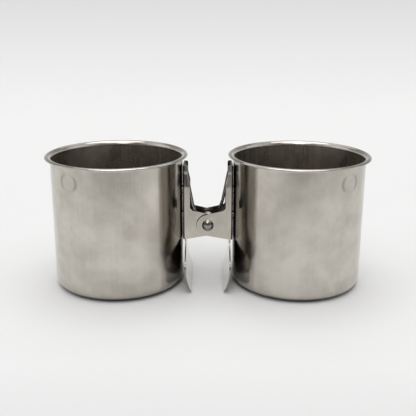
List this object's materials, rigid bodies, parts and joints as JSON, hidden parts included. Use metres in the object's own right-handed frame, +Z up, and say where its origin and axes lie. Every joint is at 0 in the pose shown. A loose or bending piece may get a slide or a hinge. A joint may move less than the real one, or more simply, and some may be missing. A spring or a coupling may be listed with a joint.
{
  "type": "palette cup clip",
  "caption": "Double palette cup: two pressed steel cups with curled rims, joined by a sprung sheet-metal clip with wide jaws.",
  "frame": {"origin": "centre of the footprint, on the plane that the cups stand on", "axes": "+X from the left cup to the right cup, +Y away from the viewer along the clip's pivot, +Z up"},
  "size_m": [0.1237, 0.0542, 0.0512],
  "materials": {
    "cup_steel": "satin",
    "clip_steel": "polished",
    "rivet_steel": "polished",
    "spring_steel": "polished"
  },
  "bodies": {
    "right_side": {"right_cup": "cup_steel", "outer_clip_half": "clip_steel", "pivot_rivet": "rivet_steel", "torsion_spring": "spring_steel"},
    "left_side": {"left_cup": "cup_steel", "inner_clip_half": "clip_steel"}
  },
  "joints": [
    {"name": "clip_hinge", "type": "hinge", "parent": "right_side", "child": "left_side", "pos_m": [0, 0, 0.024], "axis": [0, 1, 0], "range_deg": [-28, 29], "stiffness_Nm_per_rad": 0.05, "deforming": ["torsion_spring"]}
  ]
}
